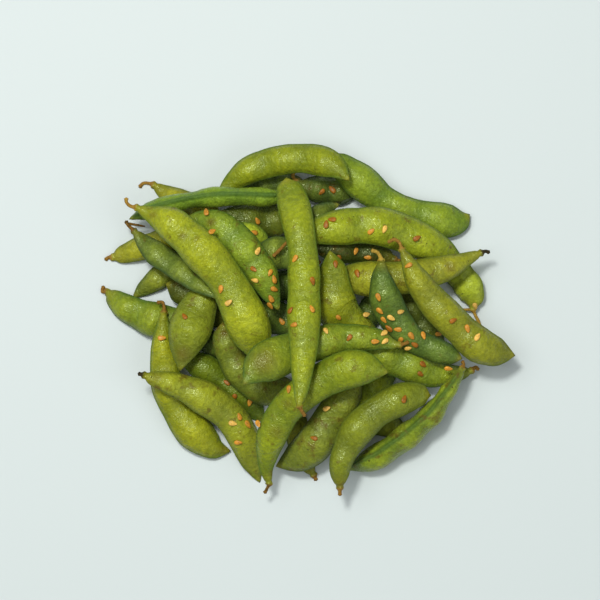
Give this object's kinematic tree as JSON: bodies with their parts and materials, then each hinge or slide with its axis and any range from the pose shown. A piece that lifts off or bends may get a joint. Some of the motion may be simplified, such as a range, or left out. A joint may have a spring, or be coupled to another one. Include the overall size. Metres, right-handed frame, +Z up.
{
  "type": "edamame pod bundle",
  "caption": "Loose bundle of cooked edamame pods heaped flat, with toasted sesame seeds scattered over the pods.",
  "frame": {"origin": "centre of the bounding box's bottom, on the table under the heap", "axes": "+Z up out of the table; +X along the heap's longest extent, to the right as seen from above; +Y towards the back"},
  "size_m": [0.1504, 0.127, 0.0419],
  "materials": {
    "pod_lime": "satin",
    "pod_yellow": "satin",
    "pod_green": "satin",
    "pod_olive": "satin",
    "pod_dark": "satin",
    "sesame_seed": "satin"
  },
  "bodies": {
    "root": {"pod_bottom_23": "pod_dark", "pod_bottom_20": "pod_dark", "pod_bottom_21": "pod_dark", "pod_bottom_22": "pod_dark", "pod_bottom_01": "pod_olive", "pod_bottom_02": "pod_olive", "pod_bottom_03": "pod_yellow", "pod_bottom_04": "pod_yellow", "pod_bottom_05": "pod_olive", "pod_bottom_06": "pod_green", "pod_bottom_07": "pod_dark", "pod_bottom_08": "pod_dark", "pod_bottom_09": "pod_dark", "pod_bottom_10": "pod_dark", "pod_bottom_11": "pod_olive", "pod_bottom_12": "pod_dark", "pod_bottom_13": "pod_olive", "pod_bottom_14": "pod_lime", "pod_bottom_15": "pod_green", "pod_bottom_16": "pod_olive", "pod_bottom_17": "pod_yellow", "pod_bottom_18": "pod_green", "pod_bottom_19": "pod_green", "pod_middle_01": "pod_lime", "pod_middle_02": "pod_lime", "pod_middle_03": "pod_lime", "pod_middle_04": "pod_yellow", "pod_middle_05": "pod_lime", "pod_middle_06": "pod_green", "pod_middle_07": "pod_olive", "pod_middle_08": "pod_yellow", "pod_middle_09": "pod_olive", "pod_middle_10": "pod_dark", "pod_middle_11": "pod_green", "pod_middle_12": "pod_green", "pod_middle_13": "pod_yellow", "pod_middle_14": "pod_green", "pod_top_01": "pod_dark", "pod_top_02": "pod_yellow", "pod_top_03": "pod_lime", "pod_top_04": "pod_green", "pod_top_05": "pod_lime", "pod_top_06": "pod_yellow", "pod_top_07": "pod_lime", "sesame_seed_01": "sesame_seed", "sesame_seed_02": "sesame_seed", "sesame_seed_03": "sesame_seed", "sesame_seed_04": "sesame_seed", "sesame_seed_05": "sesame_seed", "sesame_seed_06": "sesame_seed", "sesame_seed_07": "sesame_seed", "sesame_seed_08": "sesame_seed", "sesame_seed_09": "sesame_seed", "sesame_seed_10": "sesame_seed", "sesame_seed_11": "sesame_seed", "sesame_seed_12": "sesame_seed", "sesame_seed_13": "sesame_seed", "sesame_seed_14": "sesame_seed", "sesame_seed_15": "sesame_seed", "sesame_seed_16": "sesame_seed"}
  },
  "joints": []
}
